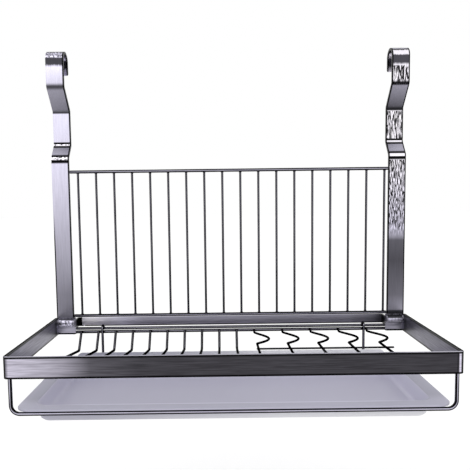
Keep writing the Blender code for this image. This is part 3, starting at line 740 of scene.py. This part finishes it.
def arc_path(corners, radius, steps):
    """The path through these corners, with an arc at each inner one."""
    path = [corners[0]]
    for before, corner, after in zip(corners, corners[1:], corners[2:]):
        back = (before - corner).normalized()
        ahead = (after - corner).normalized()
        half = back.angle(ahead) / 2
        centre = corner + (back + ahead).normalized() * (radius / math.sin(half))
        first = corner + back * (radius / math.tan(half)) - centre
        last = corner + ahead * (radius / math.tan(half)) - centre
        axis = first.cross(last)
        for step in range(steps + 1):
            turn = Matrix.Rotation((math.pi - 2 * half) * step / steps, 3, axis)
            path.append(centre + turn @ first)
    return path + [corners[-1]]


plate_steel = wire_finish("plate_wire_steel", PLATE_LOOK, TROUGH_SIDE)
for index in range(PLATE_WIRES):
    node = f"plate_wire_{index + 1:02d}"
    at = PLATE_FIRST_X + PLATE_PITCH * index
    path = arc_path([Vector((at, y, z)) for y, z in PLATE_CORNERS], PLATE_BEND, BEND_STEPS)
    mesh = drawn_wire(f"{node}_drawn", path, PLATE_RADIUS)
    link_piece(f"{node}_drawn", mesh, plate_steel, "shelf", "wire_steel", node)
rear_low, rear_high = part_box("rear_lower_rail")
front_low, front_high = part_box("front_rail")
rear_middle = (rear_low.z + rear_high.z) / 2
rear_weld = Vector((0, rear_low.y - REAR_WELD_SINK, rear_middle + REAR_WELD_RISE))
front_weld = Vector((0, (front_low.y + front_high.y) / 2, front_high.z + FRONT_WELD_RISE))
places = []
for index in range(PLATE_WIRES):
    shift = Vector((PLATE_FIRST_X + PLATE_PITCH * index, 0, 0))
    places += [rear_weld + shift, front_weld + shift]
beads("plate_wire_welds", places, PLATE_WELD, plate_steel, "shelf")

# Cup wires: each makes one sideways wave at the rear and then runs straight to the front.
# A thin cross wire under them keeps their distance.
CUP_WIRES = 5
CUP_RADIUS = 0.0014
CUP_FIRST_X = 0.030341
CUP_PITCH = 0.036140
CUP_START = (-0.00865, -0.3418)
CUP_FLOOR = -0.3450
CUP_WAVE_START = -0.01265
CUP_WAVE_LENGTH = 0.0548
CUP_WAVE_REACH = 0.016
CUP_WAVE_LEAN = 1.25
CUP_END = (-0.1824, -0.3396)
CUP_BEND = 0.002
DROP_STEPS = 6
WAVE_STEPS = 28
CROSS_WIRE_RADIUS = 0.0011
CUP_LOOK = (12, 70, 0.955)
CUP_WELD = (0.0015, 0.0010, 0.0010)

cup_steel = wire_finish("cup_wire_steel", CUP_LOOK, TROUGH_SIDE)
drop = [
    Vector((0, *CUP_START)),
    Vector((0, CUP_START[0], CUP_FLOOR)),
    Vector((0, CUP_WAVE_START, CUP_FLOOR)),
]
wave = []
for step in range(1, WAVE_STEPS):
    share = step / WAVE_STEPS
    side = CUP_WAVE_REACH * math.sin(math.pi * share**CUP_WAVE_LEAN)
    wave.append(Vector((side, CUP_WAVE_START - CUP_WAVE_LENGTH * share, CUP_FLOOR)))
turn = Vector((0, CUP_WAVE_START - CUP_WAVE_LENGTH, CUP_FLOOR))
tail = arc_path([wave[-2], turn, Vector((0, *CUP_END))], CUP_BEND, BEND_STEPS)
cup_path = arc_path(drop, CUP_BEND, DROP_STEPS) + wave[:-2] + tail
places = []
for index in range(CUP_WIRES):
    shift = Vector((CUP_FIRST_X + CUP_PITCH * index, 0, 0))
    node = f"cup_wire_{index + 1}"
    mesh = drawn_wire(f"{node}_drawn", [point + shift for point in cup_path], CUP_RADIUS)
    link_piece(f"{node}_drawn", mesh, cup_steel, "shelf", "wire_steel", node)
    places += [rear_weld + shift, front_weld + shift]
mesh = drawn_wire("cup_cross_wire_drawn", straight_path("cup_cross_wire"), CROSS_WIRE_RADIUS)
link_piece("cup_cross_wire_drawn", mesh, cup_steel, "shelf", "wire_steel", "cup_cross_wire")
beads("cup_wire_welds", places, CUP_WELD, cup_steel, "shelf")

# The tray's front wire is a wide U inside the front bar; the rear hanger hooks over the
# upper rail. Both are drawn wire, and the tray's flange lies on them.
LOOP_RADIUS = 0.0020
LOOP_X = 0.2197
LOOP_Y = -0.1807
LOOP_TOP = -0.3289
LOOP_FOOT = -0.3826
LOOP_BEND = 0.0085
LOOP_STEPS = 12
HANGER_RADIUS = 0.0016
HANGER_X = (-0.164926, 0.171098)
HANGER_Y = -0.0090
HANGER_BAR = (-0.0190, -0.3822)
HANGER_BEND = 0.004
HOOK_CENTRE = (-0.0053, -0.3388)
HOOK_TAIL = 0.0015
HOOK_STEPS = 12
TRAY_WIRE_LOOK = (12, 184, 0.972)

loop_steel = wire_finish("tray_wire_steel", TRAY_WIRE_LOOK, FORWARDS_AND_UP)
corners = [
    Vector((-LOOP_X, LOOP_Y, LOOP_TOP)),
    Vector((-LOOP_X, LOOP_Y, LOOP_FOOT)),
    Vector((LOOP_X, LOOP_Y, LOOP_FOOT)),
    Vector((LOOP_X, LOOP_Y, LOOP_TOP)),
]
mesh = drawn_wire("tray_loop", arc_path(corners, LOOP_BEND, LOOP_STEPS), LOOP_RADIUS)
link_piece("tray_loop", mesh, loop_steel, "shelf", "wire_steel", "tray_front_wire")
hook_radius = HOOK_CENTRE[0] - HANGER_Y
hook = [(HOOK_CENTRE[0] + hook_radius, HOOK_CENTRE[1] - HOOK_TAIL)]
for step in range(HOOK_STEPS + 1):
    angle = math.pi * step / HOOK_STEPS
    ahead = hook_radius * math.cos(angle)
    hook.append((HOOK_CENTRE[0] + ahead, HOOK_CENTRE[1] + hook_radius * math.sin(angle)))
left_hook = [Vector((HANGER_X[0], *point)) for point in hook]
right_hook = [Vector((HANGER_X[1], *point)) for point in hook]
corners = [
    left_hook[-1],
    Vector((HANGER_X[0], HANGER_Y, HANGER_BAR[1])),
    Vector((HANGER_X[0], *HANGER_BAR)),
    Vector((HANGER_X[1], *HANGER_BAR)),
    Vector((HANGER_X[1], HANGER_Y, HANGER_BAR[1])),
    right_hook[-1],
]
path = left_hook[:-1] + arc_path(corners, HANGER_BEND, BEND_STEPS) + right_hook[-2::-1]
mesh = drawn_wire("tray_hanger_drawn", path, HANGER_RADIUS)
link_piece("tray_hanger_drawn", mesh, loop_steel, "shelf", "wire_steel", "tray_hanger")

# The drip tray is one vacuum-formed sheet of satin, slightly see-through lilac plastic.
# It lies loose on the two wires by its flange; its rear edge stands up as a low lip.
TRAY_EASE = 0.0005
PLASTIC_IOR = 1.46
FLANGE_DULL = (0.395, 0.390, 0.480, 1)
FLANGE_CLEAR = (0.440, 0.434, 0.530, 1)
CLOUDS = (16, 16, 16)
# Under the flange the plastic is painted paler, painted light against the shade there:
# palest on the basin's walls, and least on the wall outside at the front.
FLANGE_FOOT = -0.3808
BASIN_TOP = (-0.3808, -0.3828)
BASIN_COLOUR = (0.590, 0.578, 0.700, 1)
WALL_COLOUR = (0.672, 0.658, 0.784, 1)
SLANTED = (0.97, 0.70)
FRONT_WALL = -0.160
FRONT_WALL_COLOUR = (0.520, 0.512, 0.596, 1)
FRONT_WALL_FADE = 0.80
# The front of the flange is painted partly in the basin's paler colour, painted light.
FRONT_FLANGE = (-0.150, -0.164)
FRONT_FLANGE_SHARE = 0.55
# The flange's inner front edge has a painted highlight between its ends.
FRONT_RIM = (-0.1668, 0.0024)
FRONT_RIM_ENDS = (0.200, 0.150)
FRONT_RIM_COLOUR = (0.720, 0.710, 0.850, 1)
# Painted light: the lip is painted paler towards the right, and so is the wall outside at the
# front.
LIP_FOOT = (-0.3783, -0.3758)
LIP_LEFT_COLOUR = (0.500, 0.500, 0.580, 1)
LIP_PAINTED_LIGHT = (0.930, 0.930, 0.960, 1)
LIP_FADE = (-0.140, 0.050)
PEBBLES = (1300, 1300, 1300)
PEBBLE_STRENGTH = 0.2
PEBBLE_DEPTH = 0.00003
PLASTIC_ROUGHNESS = 0.40
PLASTIC_ROUGHNESS_SWING = 0.12

tray_plastic = bpy.data.materials.new("tray_plastic")
tray_plastic.use_nodes = True
tray_plastic.diffuse_color = FLANGE_DULL
tree = tray_plastic.node_tree
shader = tree.nodes["Principled BSDF"]
shader.inputs["IOR"].default_value = PLASTIC_IOR
place, (x, y, z) = parts_of(tree, "Object")
_, (_, _, face_z) = parts_of(tree, "Normal")
cloud = noise(tree, place, CLOUDS)
colour = blended(tree, FLANGE_DULL, FLANGE_CLEAR, cloud)
colour = blended(tree, colour, BASIN_COLOUR, rise(tree, z, *BASIN_TOP))
upper = z > FLANGE_FOOT
front_flange = FRONT_FLANGE_SHARE * rise(tree, y, *FRONT_FLANGE) * upper
colour = blended(tree, colour, BASIN_COLOUR, front_flange)
rim = near(tree, y, *FRONT_RIM) * rise(tree, abs(x), *FRONT_RIM_ENDS) * upper
colour = blended(tree, colour, FRONT_RIM_COLOUR, rim)
walls = rise(tree, abs(face_z), *SLANTED) * (y > FRONT_WALL)
colour = blended(tree, colour, WALL_COLOUR, walls)
fade = FRONT_WALL_FADE * rise(tree, x, *LIP_FADE)
front_wall = blended(tree, FRONT_WALL_COLOUR, LIP_PAINTED_LIGHT, fade)
colour = blended(tree, colour, front_wall, (y < FRONT_WALL) * (z < FLANGE_FOOT))
lip = blended(tree, LIP_LEFT_COLOUR, LIP_PAINTED_LIGHT, rise(tree, x, *LIP_FADE))
colour = blended(tree, colour, lip, rise(tree, z, *LIP_FOOT))
fill(tree, shader.inputs["Base Color"], colour)
pebble = noise(tree, place, PEBBLES, 2.0)
values = {"Height": pebble, "Strength": PEBBLE_STRENGTH, "Distance": PEBBLE_DEPTH}
fill(tree, shader.inputs["Normal"], add_node(tree, "Bump", {}, values))
fill(tree, shader.inputs["Roughness"], PLASTIC_ROUGHNESS + PLASTIC_ROUGHNESS_SWING * cloud)
eased_piece("tray_moulding", "drip_tray", TRAY_EASE, tray_plastic, "tray", "tray_plastic")
